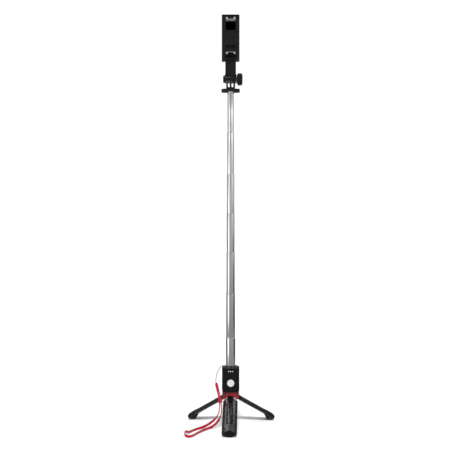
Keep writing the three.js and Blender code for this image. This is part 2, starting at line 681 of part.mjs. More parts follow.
/** The remote's two trays, which meet in front of the lips of the channel. */
function addRemoteCovers() {
  const { half, railHalf, front, split, back, wall } = REMOTE;
  let frontCover = acrossY(remoteOutline(half, 0), front, split, 4);
  frontCover = frontCover.subtract(acrossY(remoteOutline(half, wall), front + wall, split + 1, 4));
  frontCover = frontCover.subtract(bar('y', BUTTON.hole, front - 1, front + 3, [0, BUTTON.z], 32));
  piece('remote_front_cover', frontCover, black());
  let rearCover = acrossY(remoteOutline(railHalf, 0), split + GAP, back, 4);
  rearCover = rearCover.subtract(acrossY(remoteOutline(half, wall), split - 1, back - 1.1, 4));
  piece('remote_rear_cover', rearCover, black());
}

/** What the remote holds: a board with a push switch in front and a coin cell behind. */
function addRemoteInsides() {
  piece('remote_circuit_board', block([-10.2, -14.1, 62.6], [10.2, -13.1, 96.4]), green());
  piece('remote_push_switch', block([-2.6, -15.3, BUTTON.z - 2.6], [2.6, -14.4, BUTTON.z + 2.6]), zinc());
  piece('remote_coin_cell', bar('y', 8, -12.7, -10.8, [0, 87], 24), zinc());
}

/** The round shutter button, with a flange behind the cover that keeps it in. */
function addShutterButton() {
  const { z, radius, flange } = BUTTON;
  let button = bar('y', radius, REMOTE.front - 0.4, -16.1, [0, z], 32);
  button = button.add(bar('y', radius - 0.6, REMOTE.front - 0.65, REMOTE.front, [0, z], 32));
  button = button.add(bar('y', flange, -16.4, -16, [0, z], 32));
  piece('shutter_button', button, white());
}

// ---------------------------------------------------------------- collar and legs

/** A frame at a leg's pivot: X along the pin, Y outwards, Z up. */
function legFrame(azimuth) {
  const frame = new THREE.Group();
  const a = rad(azimuth);
  frame.position.set(LEG.pivotRadius * Math.cos(a), LEG.pivotRadius * Math.sin(a), LEG.pivotZ);
  frame.rotation.z = a - Math.PI / 2;
  return frame;
}

/** A solid made in a leg's frame, moved to where it stands around the pole. */
function aroundPole(body, azimuth) {
  const frame = legFrame(azimuth);
  frame.updateMatrix();
  return solid(surface(body).applyMatrix4(frame.matrix));
}

/** The ring under the body with skirts between the legs, and a slot and a bore for each knuckle. */
function addCollar() {
  const { radius, edge, bottom, top, skirtBottom, skirtInside, notch, recess, recessTop, bore } = COLLAR;
  const rim = (z) => [[radius - edge, z], [radius, z + edge]];
  let skirts = turned(
    [[skirtInside, skirtBottom], ...rim(skirtBottom), [radius, bottom + PAST], [skirtInside, bottom + PAST]], 48,
  );
  for (const azimuth of LEG.azimuths) {
    const gap = block([-notch, -LEG.pivotRadius, -9], [notch, 9, bottom + PAST - LEG.pivotZ + PAST]);
    skirts = skirts.subtract(aroundPole(gap, azimuth));
  }
  let collar = turned([[0, bottom], ...rim(bottom), [radius, top], [0, top]], 48).add(skirts);
  for (const azimuth of LEG.azimuths) {
    const { slotHalf, slotInner, slotTop } = KNUCKLE;
    const slot = block([-slotHalf, slotInner, -9], [slotHalf, 9, slotTop]);
    const pinBore = bar('x', LEG.pinBore, -PIN_HALF - 4, PIN_HALF + 4);
    collar = collar.subtract(aroundPole(slot.add(pinBore), azimuth));
  }
  collar = collar.subtract(bar('z', recess, bottom - PAST, recessTop));
  collar = collar.subtract(bar('z', bore, bottom - PAST, top + PAST));
  piece('leg_collar', collar, red());
}

/** The screw up through the collar into the pole's lower plug. */
function addHubScrew() {
  const head = bar('z', 3, COLLAR.bottom + 0.4, COLLAR.bottom + 2.7);
  piece('hub_screw', head.add(bar('z', 1.5, COLLAR.bottom + 2.6, 61.2)), zinc());
}

/** A third of the round grip in plan, outwards along Y from the pivot's line, with its flat inner face. */
function gripSector(radius, inner, sideGap) {
  const apex = sideGap / Math.sin(rad(60));
  const limit = Math.PI / 3 - Math.asin(sideGap / radius);
  const innerHalf = (inner - apex) * Math.tan(Math.PI / 3);
  const shape = new THREE.Shape();
  shape.moveTo(innerHalf, inner - LEG.pivotRadius);
  shape.absarc(0, -LEG.pivotRadius, radius, Math.PI / 2 - limit, Math.PI / 2 + limit, false);
  if (innerHalf > 0) shape.lineTo(-innerHalf, inner - LEG.pivotRadius);
  return shape;
}

/** The part of a leg that its shoe is pressed on to, `grow` larger all round. */
const legTang = (grow) => {
  const { end, pivotRadius } = LEG;
  const [near, far] = [8.4 - grow - pivotRadius, 12.2 + grow - pivotRadius];
  return block([-7.6 - grow, near, -end - 11 - grow], [7.6 + grow, far, 1 - end]);
};

/** A folded leg hanging from its pivot: knuckle, grip third hollowed on its inner face, and tang. */
function legSolid() {
  const { gripRadius, pivotRadius, pivotZ, inner, start, end } = LEG;
  const { half, radius } = KNUCKLE;
  let leg = raised(gripSector(gripRadius, inner, 0.4), -end, -start, 14);
  const hollow = block([-6.2, inner - pivotRadius - 1, 8 - end], [6.2, inner - pivotRadius + 2.6, -13]);
  leg = leg.subtract(hollow);
  const shoulder = COLLAR.skirtBottom - pivotZ - 0.4;
  for (const side of [-1, 1]) {
    const [near, far] = [side * (COLLAR.notch - GAP), side * gripRadius].sort((a, b) => a - b);
    leg = leg.subtract(block([near, -pivotRadius, shoulder], [far, gripRadius - pivotRadius + PAST, 0]));
  }
  leg = leg.add(legTang(0));
  leg = leg.add(bar('x', radius, -half, half));
  const neck = block([-half, -radius, -start - 1], [half, gripRadius - pivotRadius - 0.3, 0]);
  return leg.add(neck).subtract(bar('x', LEG.pinBore, -6, 6));
}

/** The rubber shoe: a wedge with a level sole when the leg is open, round at the toe. */
function shoeSolid() {
  const { slope, pivotZ, pivotRadius, gripRadius, inner, tip, heel, heelTop, toe, toeCorner, end } = LEG;
  const soleY = (s) => (s * Math.sin(rad(slope)) - pivotZ) / Math.cos(rad(slope));
  const top = gripRadius - pivotRadius + 0.3;
  const start = end + GAP;
  const under = inner - pivotRadius - GAP;
  const side = new THREE.Shape();
  side.moveTo(under, -start);
  side.lineTo(under, -heelTop);
  side.lineTo(soleY(heel) + 0.6, -heel + 0.5);
  side.lineTo(soleY(heel), -heel);
  side.lineTo(soleY(tip), -tip);
  side.lineTo(top - toe, -tip);
  side.absarc(top - toe, toe - tip, toe, -Math.PI / 2, 0, false);
  side.lineTo(top, -start);
  const third = raised(gripSector(gripRadius + 0.3, 0.5, 0.4), -tip - 1, -end, 14);
  const half = gripRadius * Math.sin(Math.PI / 3);
  const plan = roundedRectangle(-half, -tip, half, 1 - start, [toeCorner, toeCorner, 0, 0]);
  const wedge = acrossX(side, -13, 13, 5).intersect(acrossY(plan, -14, 6, 3));
  return wedge.intersect(third).subtract(legTang(GAP));
}

/** One leg with its pin and shoe, opened to its slope. */
function addLeg(name, azimuth) {
  const frame = legFrame(azimuth);
  stick.add(frame);
  piece(`${name}_leg_pin`, bar('x', LEG.pin, -PIN_HALF, PIN_HALF), steel(), frame);
  const swing = new THREE.Group();
  swing.rotation.x = rad(90 - LEG.slope);
  frame.add(swing);
  piece(`${name}_leg`, legSolid(), black(), swing);
  piece(`${name}_leg_shoe`, shoeSolid(), rubber(), swing);
}

// ---------------------------------------------------------------- wrist strap

/** The strap: string, ferrule, doubled strand, slider and the loop that lies on the floor. */
function addStrap() {
  piece('strap_string', tubeAlong(STRING_ROUTE, roundSection(STRING.width), 2), cordGrey());
  const ferrule = between(FERRULE.from, FERRULE.to, (long) =>
    turned([[0, 0], [1.5, 0], [FERRULE.radius, 2], [FERRULE.radius, long - 1], [2, long], [0, long]], 12),
  );
  const slider = between(SLIDER.from, SLIDER.to, (long) => {
    const { width, depth } = SLIDER;
    return raised(roundedRectangle(-width / 2, -depth / 2, width / 2, depth / 2, 1.4), 0, long, 3);
  });
  for (const [name, made] of [['strap_ferrule', ferrule], ['strap_slider', slider]]) {
    stick.add(made.frame);
    const mesh = new THREE.Mesh(made.geometry, webbing());
    mesh.name = name;
    made.frame.add(mesh);
  }
  piece('strap_double_strand', tubeAlong(DOUBLE_ROUTE, roundSection(DOUBLE.width), 1), webbing());
  piece('strap_loop', tubeAlong(LOOP_ROUTE, roundSection(LOOP.width), 1.5), webbing());
}

// ---------------------------------------------------------------- assembly

for (let i = 0; i < POLE.tops.length; i += 1) addSection(i);
for (let i = 0; i < POLE.tops.length - 1; i += 1) addSleeve(i);
addTopStud();
addRootPlug();

addLockWheel();
addProngBase();
addClampNeck();
addHingeFasteners();
addThumbKnob();

addClampBody();
addClampCover();
addNeckScrew();
addCarriage();
addGuideRods();
addClampSpring();
addJaw('upper', JAW.upperZ, 0);
addJaw('lower', JAW.lowerZ, Math.PI);

addShells();
addTopCap();
addRemoteCovers();
addRemoteInsides();
addShutterButton();

addCollar();
addHubScrew();
LEG.azimuths.forEach((azimuth, i) => addLeg(LEG.names[i], azimuth));

addStrap();

export default stick;
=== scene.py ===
"""A telescopic selfie stick standing on its open legs: camera, light, materials and finished pieces."""

import json
import math

import bmesh
import bpy
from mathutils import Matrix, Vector

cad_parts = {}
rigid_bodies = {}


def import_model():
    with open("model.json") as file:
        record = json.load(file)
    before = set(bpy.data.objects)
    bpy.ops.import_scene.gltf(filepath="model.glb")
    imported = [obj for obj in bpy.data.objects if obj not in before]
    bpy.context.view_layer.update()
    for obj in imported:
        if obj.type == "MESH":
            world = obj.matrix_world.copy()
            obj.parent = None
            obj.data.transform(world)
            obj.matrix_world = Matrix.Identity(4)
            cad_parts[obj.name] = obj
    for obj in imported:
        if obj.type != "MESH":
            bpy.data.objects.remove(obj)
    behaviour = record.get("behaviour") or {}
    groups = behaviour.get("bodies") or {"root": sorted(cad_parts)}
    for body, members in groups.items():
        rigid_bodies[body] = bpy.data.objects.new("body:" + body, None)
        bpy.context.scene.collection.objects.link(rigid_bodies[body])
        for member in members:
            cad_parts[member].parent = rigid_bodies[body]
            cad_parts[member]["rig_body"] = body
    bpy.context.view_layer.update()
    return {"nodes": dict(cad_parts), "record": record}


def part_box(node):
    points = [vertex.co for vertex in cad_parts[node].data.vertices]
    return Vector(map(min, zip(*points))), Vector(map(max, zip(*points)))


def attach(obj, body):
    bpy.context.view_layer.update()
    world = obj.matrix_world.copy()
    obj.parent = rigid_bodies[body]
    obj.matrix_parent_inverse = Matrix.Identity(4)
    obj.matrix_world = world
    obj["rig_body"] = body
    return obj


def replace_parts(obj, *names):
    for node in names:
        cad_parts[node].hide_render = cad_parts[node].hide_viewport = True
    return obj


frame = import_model()

MM = 0.001
TAU = 2 * math.pi
NODES = frame["nodes"]
SLOT_OF = {row["node"]: row["material_slot"] for row in frame["record"]["subparts"]}
POLE_LOW, POLE_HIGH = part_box("pole_section_7")
AXIS = Vector(((POLE_LOW.x + POLE_HIGH.x) / 2, (POLE_LOW.y + POLE_HIGH.y) / 2, 0.0))

# ---------------------------------------------------------------- camera, floor and light

# Places are in metres from the foot of the pole's axis.
CAMERA_PLACE = (-0.0078, -1.305, 0.3356)
CAMERA_LENS = 61.65
CAMERA_SENSOR = 36.0
CAMERA_REACH = 50.0

FLOOR_HALF = 14.0
FLOOR_SHADE = 0.85
FLOOR_ROUGHNESS = 0.8
# The floor lies a hair below the soles, so that the two faces don't share a plane.
FLOOR_DROP = 0.03 * MM

SURROUND_STRENGTH = 0.52
# The key light's energy, and its spread and tilt from straight down in degrees.
KEY_ENERGY = 4.0
KEY_SPREAD = 12
KEY_TILT = 46
# The height between the feet that the two strips face.
FEET_HEIGHT = 0.03
# For each strip, its place from the feet, its size and its power.
STRIPS = {
    "left_top_strip": ((-0.50, 0.47, 1.33), (0.25, 1.2), 16.0),
    "right_top_strip": ((0.66, 0.53, 1.23), (0.12, 1.2), 6.0),
}

BACKDROP_RADIUS = 12.0
BACKDROP_LEVEL = 1.03
TENT_RADIUS = 4.0
SPHERE_HEIGHT = 0.35
SPHERE_SEGMENTS = 48
SPHERE_RINGS = 32


def grey(level):
    """An opaque grey."""
    return (level, level, level, 1)


def add_camera():
    """A level camera in front of the stick, at the height of the fourth pole section."""
    data = bpy.data.cameras.new("camera")
    data.sensor_width = CAMERA_SENSOR
    data.lens = CAMERA_LENS
    data.clip_end = CAMERA_REACH
    camera = bpy.data.objects.new("camera", data)
    camera.location = AXIS + Vector(CAMERA_PLACE)
    camera.rotation_euler = (math.radians(90), 0, 0)
    bpy.context.scene.collection.objects.link(camera)
    bpy.context.scene.camera = camera


def add_floor():
    """A wide pale floor."""
    mesh = bpy.data.meshes.new("floor")
    half = FLOOR_HALF
    corners = [(-half, -half, 0), (half, -half, 0), (half, half, 0), (-half, half, 0)]
    mesh.from_pydata(corners, [], [(0, 1, 2, 3)])
    floor = bpy.data.objects.new("floor", mesh)
    floor.location.z = -FLOOR_DROP
    bpy.context.scene.collection.objects.link(floor)
    material = bpy.data.materials.new("pale_floor")
    material.use_nodes = True
    bsdf = material.node_tree.nodes["Principled BSDF"]
    bsdf.inputs["Base Color"].default_value = grey(FLOOR_SHADE)
    bsdf.inputs["Roughness"].default_value = FLOOR_ROUGHNESS
    bsdf.inputs["Specular IOR Level"].default_value = 0.0
    mesh.materials.append(material)
    floor.visible_glossy = False


def add_highlight(name, place, target, size, power):
    """A rectangular light that faces a point and shows only in reflections."""
    data = bpy.data.lights.new(name, "AREA")
    data.shape = "RECTANGLE"
    data.size, data.size_y = size
    data.energy = power
    light = bpy.data.objects.new(name, data)
    light.location = place
    light.rotation_euler = (target - place).to_track_quat("-Z", "Y").to_euler()
    light.visible_diffuse = False
    bpy.context.scene.collection.objects.link(light)


# What the glossy surfaces see around them: at each elevation, in degrees above level, a grey ramp around
# the stick. Its stops are (azimuth, radiance), with azimuth in degrees from the camera's side, positive
# to the right.
TENT_RINGS = {
    -90: [(-180, 0.55), (180, 0.55)],
    -30: [(-180, 0.5), (180, 0.5)],
    -17: [(-180, 0.35), (-60, 0.5), (0, 0.4), (60, 0.4), (180, 0.3)],
    -12: [
        (-180, 0.2), (-140, 0.1), (-112, 0.1), (-92, 0.3), (-78, 1.2), (-70, 2.6), (-50, 2.6), (-40, 0.5),
        (-28, 0.40), (0, 0.44), (47, 0.52), (64, 0.42), (78, 0.14), (113, 0.07), (150, 0.1), (180, 0.2),
    ],
    -6.3: [
        (-180, 0.2), (-140, 0.2), (-112, 0.2), (-94, 0.3), (-80, 1.1), (-72, 2.6), (-52, 2.6), (-42, 0.8),
        (-30, 0.55), (-4, 0.52), (24, 0.52), (54, 0.56), (72, 0.42), (88, 0.2), (138, 0.2), (180, 0.25),
    ],
    0: [
        (-180, 0.2), (-130, 0.28), (-105, 0.3), (-90, 0.7), (-78, 1.5), (-58, 1.5), (-42, 0.95),
        (-28, 0.66), (-4, 0.56), (26, 0.58), (57, 0.68), (90, 0.7), (115, 0.3), (180, 0.4),
    ],
    5.9: [
        (-180, 0.4), (-134, 0.3), (-100, 0.4), (-78, 0.55), (-58, 1.1), (-36, 1.3), (-20, 0.6), (-8, 0.2),
        (4, 0.2), (14, 0.5), (30, 0.75), (67, 0.95), (90, 0.8), (115, 0.25), (150, 0.2), (180, 0.5),
    ],
    11.8: [
        (-180, 0.6), (-130, 0.3), (-100, 0.4), (-85, 0.5), (-62, 1.2), (-38, 1.8), (-20, 0.8), (-8, 0.22),
        (4, 0.22), (14, 0.8), (32, 1.3), (73, 1.3), (95, 0.8), (120, 0.2), (150, 0.2), (180, 0.6),
    ],
    18.5: [
        (-180, 0.3), (-110, 0.5), (-60, 0.8), (-28, 0.4), (0, 0.28), (28, 0.4), (60, 0.7), (110, 0.3),
        (180, 0.3),
    ],
    34: [(-180, 0.25), (-90, 0.4), (0, 0.28), (90, 0.25), (180, 0.25)],
    60: [(-180, 0.5), (180, 0.5)],
    90: [(-180, 0.5), (180, 0.5)],
}


def tent_ring(tree, azimuth, stops):
    """A grey ramp around the tent, from `stops` of azimuth and radiance."""
    ramp = tree.nodes.new("ShaderNodeValToRGB")
    elements = ramp.color_ramp.elements
    elements.remove(elements[1])
    for i, (degrees, radiance) in enumerate(stops):
        position = degrees / 360 + 0.5
        element = elements[0] if i == 0 else elements.new(position)
        element.position = position
        element.color = grey(radiance)
    tree.links.new(azimuth, ramp.inputs["Fac"])
    return ramp.outputs["Color"]


def math_node(tree, operation, first, second=None, third=None):
    """A math node whose inputs are numbers or other nodes' outputs."""
    node = tree.nodes.new("ShaderNodeMath")
    node.operation = operation
    for socket, value in zip(node.inputs, (first, second, third)):
        if isinstance(value, (int, float)):
            socket.default_value = value
        elif value is not None:
            tree.links.new(value, socket)
    return node.outputs[0]


def mesh_of(work, name):
    """A mesh made from a bmesh, which is freed."""
    mesh = bpy.data.meshes.new(name)
    work.to_mesh(mesh)
    work.free()
    return mesh


def glowing_sphere(name, radius):
    """A sphere around everything that gives off light but is seen by no ray yet."""
    work = bmesh.new()
    bmesh.ops.create_uvsphere(work, u_segments=SPHERE_SEGMENTS, v_segments=SPHERE_RINGS, radius=radius)
    mesh = mesh_of(work, name)
    sphere = bpy.data.objects.new(name, mesh)
    sphere.location = AXIS + Vector((0, 0, SPHERE_HEIGHT))
    bpy.context.scene.collection.objects.link(sphere)
    material = bpy.data.materials.new(name)
    material.use_nodes = True
    tree = material.node_tree
    tree.nodes.clear()
    emission = tree.nodes.new("ShaderNodeEmission")
    output = tree.nodes.new("ShaderNodeOutputMaterial")
    tree.links.new(emission.outputs[0], output.inputs["Surface"])
    material.cycles.emission_sampling = "NONE"
    mesh.materials.append(material)
    sphere.visible_camera = False
    sphere.visible_diffuse = False
    sphere.visible_glossy = False
    sphere.visible_transmission = False
    sphere.visible_volume_scatter = False
    sphere.visible_shadow = False
    return sphere, tree, emission


def add_backdrop():
    """A white sphere that only the camera sees."""
    backdrop, _, emission = glowing_sphere("backdrop", BACKDROP_RADIUS)
    emission.inputs["Color"].default_value = grey(BACKDROP_LEVEL)
    backdrop.visible_camera = True


def add_tent():
    """A wide sphere that only reflections see, which stands in for the studio's walls and panels."""
    tent, tree, emission = glowing_sphere("tent", TENT_RADIUS)
    coordinates = tree.nodes.new("ShaderNodeTexCoord")
    parts = tree.nodes.new("ShaderNodeSeparateXYZ")
    tree.links.new(coordinates.outputs["Object"], parts.inputs[0])
    x, y, z = parts.outputs
    around = math_node(tree, "ARCTAN2", x, math_node(tree, "MULTIPLY", y, -1.0))
    azimuth = math_node(tree, "MULTIPLY_ADD", around, 1 / TAU, 0.5)
    elevation = math_node(tree, "ARCSINE", math_node(tree, "DIVIDE", z, TENT_RADIUS))
    heights = sorted(TENT_RINGS)
    color = tent_ring(tree, azimuth, TENT_RINGS[heights[0]])
    for low, high in zip(heights, heights[1:]):
        blend = tree.nodes.new("ShaderNodeMapRange")
        blend.interpolation_type = "SMOOTHSTEP"
        blend.inputs["From Min"].default_value = math.radians(low)
        blend.inputs["From Max"].default_value = math.radians(high)
        tree.links.new(elevation, blend.inputs["Value"])
        mix = tree.nodes.new("ShaderNodeMix")
        mix.data_type = "RGBA"
        tree.links.new(blend.outputs[0], mix.inputs["Factor"])
        tree.links.new(color, mix.inputs["A"])
        tree.links.new(tent_ring(tree, azimuth, TENT_RINGS[high]), mix.inputs["B"])
        color = mix.outputs["Result"]
    tree.links.new(color, emission.inputs["Color"])
    tent.visible_glossy = True


def add_light():
    """A white surround, a key light from the front, two strips above, the backdrop and the tent."""
    world = bpy.data.worlds.new("studio")
    world.use_nodes = True
    background = world.node_tree.nodes["Background"]
    background.inputs["Color"].default_value = grey(1)
    background.inputs["Strength"].default_value = SURROUND_STRENGTH
    bpy.context.scene.world = world
    bpy.context.scene.view_settings.view_transform = "Standard"
    sun = bpy.data.lights.new("key", "SUN")
    sun.energy = KEY_ENERGY
    sun.angle = math.radians(KEY_SPREAD)
    key = bpy.data.objects.new("key", sun)
    key.rotation_euler = (math.radians(KEY_TILT), 0, 0)
    key.visible_glossy = False
    bpy.context.scene.collection.objects.link(key)
    feet = AXIS + Vector((0, 0, FEET_HEIGHT))
    for name, (offset, size, power) in STRIPS.items():
        add_highlight(name, feet + Vector(offset), feet, size, power)
    add_backdrop()
    add_tent()


# ---------------------------------------------------------------- materials

# The part of a noise's 0 to 1 range that holds most of its values.
NOISE_LOW = 0.3
NOISE_HIGH = 0.7


class Look:
    """A procedural material on a Principled shader, in object coordinates and metres."""

    def __init__(self, name, color, roughness, metallic=0.0, specular=0.5):
        self.material = bpy.data.materials.new(name)
        self.material.use_nodes = True
        self.tree = self.material.node_tree
        self.bsdf = self.tree.nodes["Principled BSDF"]
        self.color = color
        self.bsdf.inputs["Base Color"].default_value = (*color, 1)
        self.bsdf.inputs["Roughness"].default_value = roughness
        self.bsdf.inputs["Metallic"].default_value = metallic
        self.bsdf.inputs["Specular IOR Level"].default_value = specular

    def noise(self, cells, detail=2.0, stretch=(1, 1, 1)):
        """A noise of about `cells` cells per metre, stretched by axis."""
        coordinates = self.tree.nodes.new("ShaderNodeTexCoord")
        mapping = self.tree.nodes.new("ShaderNodeMapping")
        mapping.inputs["Scale"].default_value = stretch
        texture = self.tree.nodes.new("ShaderNodeTexNoise")
        texture.inputs["Scale"].default_value = cells
        texture.inputs["Detail"].default_value = detail
        self.tree.links.new(coordinates.outputs["Object"], mapping.inputs["Vector"])
        self.tree.links.new(mapping.outputs["Vector"], texture.inputs["Vector"])
        return texture.outputs[0]

    def vary_roughness(self, value, low, high):
        """The roughness between `low` and `high`, driven by a noise."""
        node = self.tree.nodes.new("ShaderNodeMapRange")
        node.inputs["From Min"].default_value = NOISE_LOW
        node.inputs["From Max"].default_value = NOISE_HIGH
        node.inputs["To Min"].default_value = low
        node.inputs["To Max"].default_value = high
        self.tree.links.new(value, node.inputs["Value"])
        self.tree.links.new(node.outputs[0], self.bsdf.inputs["Roughness"])

    def vary_color(self, value, dark, light, start=NOISE_LOW, end=NOISE_HIGH):
        """The base colour between `dark` and `light`, each a factor of itself or a colour."""
        ramp = self.tree.nodes.new("ShaderNodeValToRGB")
        ramp.color_ramp.elements[0].position = start
        ramp.color_ramp.elements[1].position = end
        for element, factor in zip(ramp.color_ramp.elements, (dark, light)):
            shade = factor if isinstance(factor, tuple) else tuple(min(1, c * factor) for c in self.color)
            element.color = (*shade, 1)
        self.tree.links.new(value, ramp.inputs["Fac"])
        self.tree.links.new(ramp.outputs["Color"], self.bsdf.inputs["Base Color"])

    def bump(self, value, depth, strength):
        """A relief of `depth` metres."""
        node = self.tree.nodes.new("ShaderNodeBump")
        node.inputs["Strength"].default_value = strength
        node.inputs["Distance"].default_value = depth
        self.tree.links.new(value, node.inputs["Height"])
        self.tree.links.new(node.outputs["Normal"], self.bsdf.inputs["Normal"])


def drawn_steel(name, color, roughness):
    """Polished tube with fine lines along it and soft smudges."""
    look = Look(name, color, roughness, metallic=1.0)
    lines = look.noise(cells=2600, stretch=(1, 1, 0.004))
    smudges = look.noise(cells=60, detail=3)
    look.vary_roughness(smudges, low=roughness * 0.8, high=roughness * 1.35)
    look.vary_color(lines, dark=0.93, light=1.05)
    look.bump(lines, depth=0.002 * MM, strength=0.12)
    return look.material


def machined_metal(name, color, roughness):
    """Plain plated or turned metal."""
    look = Look(name, color, roughness, metallic=1.0)
    cloud = look.noise(cells=400, detail=3)
    look.vary_roughness(cloud, low=roughness * 0.8, high=roughness * 1.3)
    look.vary_color(cloud, dark=0.88, light=1.05)
    look.bump(look.noise(cells=2500), depth=0.008 * MM, strength=0.3)
    return look.material


def moulded_plastic(name, color, roughness, specular, grain=0.02 * MM):
    """Moulded plastic with a fine spark-eroded grain, `grain` metres deep, and slightly uneven gloss."""
    look = Look(name, color, roughness, specular=specular)
    look.vary_roughness(look.noise(cells=140, detail=4), low=roughness * 0.86, high=roughness * 1.16)
    look.vary_color(look.noise(cells=55, detail=3), dark=0.85, light=1.2)
    look.bump(look.noise(cells=2600), depth=grain, strength=0.5)
    return look.material


def soft_rubber(name, color, roughness):
    """Matt rubber, a little dusty, with a coarse grain."""
    look = Look(name, color, roughness, specular=0.2)
    look.vary_roughness(look.noise(cells=300, detail=3), low=roughness * 0.9, high=roughness * 1.1)
    look.vary_color(look.noise(cells=90, detail=4), dark=0.75, light=1.45)
    look.bump(look.noise(cells=1600, detail=3), depth=0.05 * MM, strength=0.6)
    return look.material


def woven(name, color, light, pitch, around):
    """A braid drawn by two crossing waves, `pitch` metres long and `around` to a turn, from the UV map."""
    look = Look(name, color, roughness=0.72, specular=0.35)
    look.bsdf.inputs["Sheen Weight"].default_value = 0.35
    look.bsdf.inputs["Sheen Roughness"].default_value = 0.4
    coordinates = look.tree.nodes.new("ShaderNodeTexCoord")
    waves = []
    for turn in (-1, 1):
        mapping = look.tree.nodes.new("ShaderNodeMapping")
        mapping.inputs["Scale"].default_value = (turn * around, 1 / pitch, 1)
        wave = look.tree.nodes.new("ShaderNodeTexWave")
        wave.bands_direction = "DIAGONAL"
        wave.inputs["Scale"].default_value = 0.314
        wave.inputs["Distortion"].default_value = 0.4
        wave.inputs["Detail"].default_value = 1.0
        look.tree.links.new(coordinates.outputs["UV"], mapping.inputs["Vector"])
        look.tree.links.new(mapping.outputs["Vector"], wave.inputs["Vector"])
        waves.append(wave.outputs["Fac"])
    crossing = math_node(look.tree, "MULTIPLY", *waves)
    look.vary_color(crossing, dark=color, light=light, start=0.0, end=0.8)
    look.bump(crossing, depth=0.2 * MM, strength=0.8)
    return look.material


# Each pole section's reflectance, from the thinnest at the top to the widest: darker towards the bottom,
# the widest a trace lighter than the one above it.
SECTION_SHADES = [0.84, 0.80, 0.74, 0.68, 0.62, 0.55, 0.58]
STEEL_ROUGHNESS = 0.12


def section_steel(number):
    """The steel of one pole section, a trace bluer than grey and darker the lower the section."""
    shade = SECTION_SHADES[number - 1]
    return drawn_steel(f"pole_steel_{number}", (shade, shade, shade * 1.005), STEEL_ROUGHNESS)


# For each finish, the function that makes it and that function's arguments after the name.
LOOKS = {
    "pole_steel": (drawn_steel, (0.65, 0.65, 0.65), STEEL_ROUGHNESS),
    "sleeve_brass": (machined_metal, (0.72, 0.55, 0.24), 0.35),
    "hardware_steel": (machined_metal, (0.62, 0.63, 0.64), 0.3),
    "head_plastic": (moulded_plastic, (0.0055, 0.0055, 0.0057), 0.34, 0.26),
    "jaw_rubber": (soft_rubber, (0.22, 0.22, 0.224), 0.30),
    "plug_plastic": (moulded_plastic, (0.08, 0.08, 0.085), 0.5, 0.4),
    "body_plastic": (moulded_plastic, (0.004, 0.004, 0.0042), 0.36, 0.2),
    "remote_plastic": (moulded_plastic, (0.0035, 0.0035, 0.0037), 0.38, 0.16),
    "board_laminate": (moulded_plastic, (0.015, 0.12, 0.05), 0.3, 0.5),
    "switch_metal": (machined_metal, (0.6, 0.6, 0.61), 0.32),
    "button_plastic": (moulded_plastic, (0.42, 0.42, 0.425), 0.3, 0.5, 0.008 * MM),
    "collar_plastic": (moulded_plastic, (0.21, 0.005, 0.009), 0.24, 0.5, 0.004 * MM),
    "leg_plastic": (moulded_plastic, (0.0038, 0.0038, 0.004), 0.27, 0.24, 0.0008 * MM),
    "shoe_rubber": (soft_rubber, (0.0025, 0.0025, 0.0027), 0.36),
    "strap_fabric": (woven, (0.24, 0.002, 0.014), (0.50, 0.008, 0.045), 1.6 * MM, 3),
    "strap_string": (woven, (0.16, 0.02, 0.035), (0.34, 0.08, 0.10), 0.8 * MM, 2),
    "strap_fittings": (moulded_plastic, (0.31, 0.004, 0.018), 0.4, 0.4),
    "mark_print": (moulded_plastic, (0.7, 0.7, 0.7), 0.5, 0.4, 0.004 * MM),
}
MADE = {}


def look_of(slot):
    """The material of a slot, made once."""
    if slot not in MADE:
        make, *arguments = LOOKS[slot]
        MADE[slot] = make(slot, *arguments)
    return MADE[slot]


# ---------------------------------------------------------------- making pieces

# Corners of a CAD mesh closer than this are one, and faces that meet at less than FLAT_ANGLE are one.
WELD_DISTANCE = 0.004 * MM
FLAT_ANGLE = 0.8
# Edges sharper than these angles, in degrees, stay sharp: on CAD nodes shown as they are, on finished
# copies of them, on small turned pieces and on the pole's tubes.
PLAIN_ANGLE = 38
EDGE_ANGLE = 40
TURNED_ANGLE = 50
TUBE_ANGLE = 60


def show(name, mesh, body, slot, material=None):
    """Adds a mesh as a piece of the stick, on a body and with a slot's finish."""
    mesh.materials.clear()
    mesh.materials.append(material or look_of(slot))
    piece = bpy.data.objects.new(name, mesh)
    bpy.context.scene.collection.objects.link(piece)
    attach(piece, body)
    return piece


def smooth(mesh, angle):
    """Smooth shading with edges kept sharp above an angle in degrees."""
    mesh.shade_smooth()
    mesh.set_sharp_from_angle(angle=math.radians(angle))


def copy_of_node(node):
    """A CAD node's shape with its flat faces joined up, standing for the node."""
    source = NODES[node]
    work = bmesh.new()
    work.from_mesh(source.data)
    bmesh.ops.remove_doubles(work, verts=work.verts, dist=WELD_DISTANCE)
    flat = math.radians(FLAT_ANGLE)
    bmesh.ops.dissolve_limit(work, angle_limit=flat, verts=work.verts, edges=work.edges)
    mesh = mesh_of(work, f"{node}_shape")
    smooth(mesh, EDGE_ANGLE)
    piece = show(f"{node}_fine", mesh, source["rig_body"], SLOT_OF[node])
    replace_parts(piece, node)
    return piece


def add_refined(node, width):
    """A CAD node's shape with small rounded edges."""
    bevel = copy_of_node(node).modifiers.new("rounded_edges", "BEVEL")
    bevel.width = width
    bevel.segments = 2
    bevel.limit_method = "ANGLE"
    bevel.angle_limit = math.radians(EDGE_ANGLE)
    bevel.harden_normals = True
    bevel.miter_outer = "MITER_ARC"


def add_softened(node, cell, rounds):
    """A CAD node's shape with its edges worn round, for soft or chunky mouldings."""
    piece = copy_of_node(node)
    remesh = piece.modifiers.new("even_cells", "REMESH")
    remesh.mode = "VOXEL"
    remesh.voxel_size = cell
    remesh.use_smooth_shade = True
    relax = piece.modifiers.new("worn_edges", "SMOOTH")
    relax.factor = 0.5
    relax.iterations = rounds


def in_metres(profile):
    """A [radius, height] profile given in millimetres."""
    return [(radius * MM, height * MM) for radius, height in profile]


